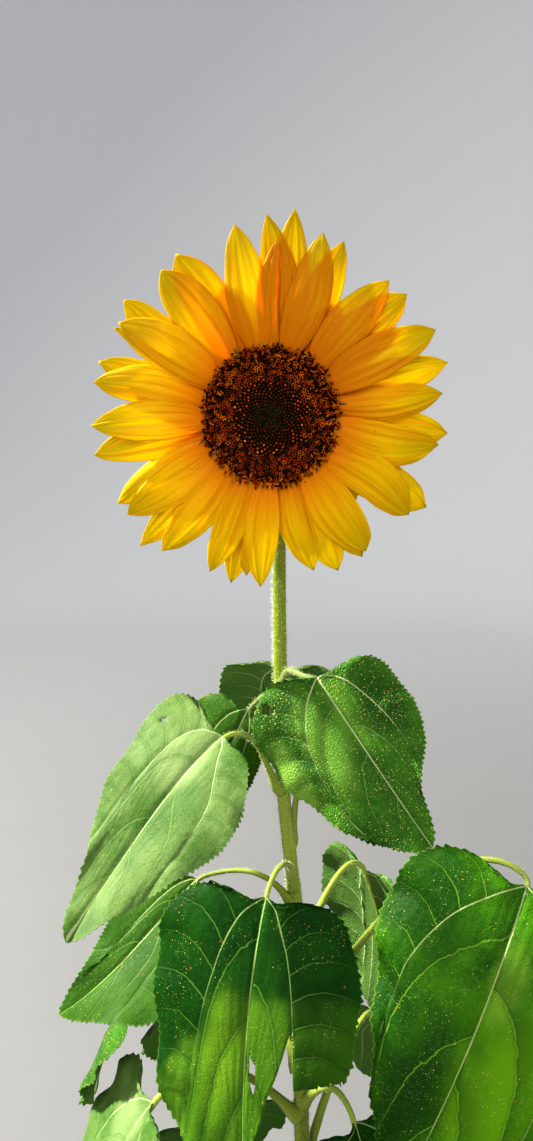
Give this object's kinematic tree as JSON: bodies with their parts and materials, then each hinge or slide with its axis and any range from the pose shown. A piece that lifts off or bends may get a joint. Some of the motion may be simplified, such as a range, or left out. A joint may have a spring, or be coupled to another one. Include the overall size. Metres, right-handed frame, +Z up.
{
  "type": "sunflower plant",
  "caption": "A single sunflower plant in full bloom: hairy green stem, long-stalked heart-shaped leaves all round it, and one yellow-rayed flower head with a dark brown disc.",
  "frame": {"origin": "centre of the stem's flat cut at ground level", "axes": "+Z up along the stem, the flower faces -Y, and +X is to the right of a viewer who faces the flower"},
  "size_m": [0.4181, 0.4033, 1.4884],
  "materials": {
    "stem_green": "ribbed green stem with short bristly hairs, matte",
    "petiole_green": "green leaf stalk with fine hairs, matte",
    "leaf_green": "puckered green leaf, pale veins, dull satin",
    "petal_yellow": "thin grooved yellow ray petals, soft satin",
    "disc_brown": "dark brown florets with rust-coloured tips, matte",
    "bract_green": "hairy green bracts, matte"
  },
  "bodies": {
    "root": {"stem": "stem_green", "receptacle": "bract_green", "disc_florets": "disc_brown", "petals_front": "petal_yellow", "petals_back": "petal_yellow", "bracts": "bract_green", "petiole_a": "petiole_green", "leaf_a": "leaf_green", "petiole_b": "petiole_green", "leaf_b": "leaf_green", "petiole_c": "petiole_green", "leaf_c": "leaf_green", "petiole_d": "petiole_green", "leaf_d": "leaf_green", "petiole_e": "petiole_green", "leaf_e": "leaf_green", "petiole_f": "petiole_green", "leaf_f": "leaf_green", "petiole_g": "petiole_green", "leaf_g": "leaf_green", "petiole_h": "petiole_green", "leaf_h": "leaf_green", "petiole_i": "petiole_green", "leaf_i": "leaf_green", "petiole_j": "petiole_green", "leaf_j": "leaf_green", "petiole_k": "petiole_green", "leaf_k": "leaf_green", "petiole_l": "petiole_green", "leaf_l": "leaf_green", "petiole_m": "petiole_green", "leaf_m": "leaf_green", "petiole_n": "petiole_green", "leaf_n": "leaf_green", "petiole_o": "petiole_green", "leaf_o": "leaf_green", "petiole_p": "petiole_green", "leaf_p": "leaf_green", "petiole_q": "petiole_green", "leaf_q": "leaf_green", "petiole_r": "petiole_green", "leaf_r": "leaf_green", "petiole_s": "petiole_green", "leaf_s": "leaf_green", "petiole_t": "petiole_green", "leaf_t": "leaf_green", "petiole_u": "petiole_green", "leaf_u": "leaf_green", "petiole_v": "petiole_green", "leaf_v": "leaf_green", "petiole_w": "petiole_green", "leaf_w": "leaf_green", "petiole_x": "petiole_green", "leaf_x": "leaf_green", "petiole_y": "petiole_green", "leaf_y": "leaf_green", "petiole_z": "petiole_green", "leaf_z": "leaf_green"}
  },
  "joints": []
}
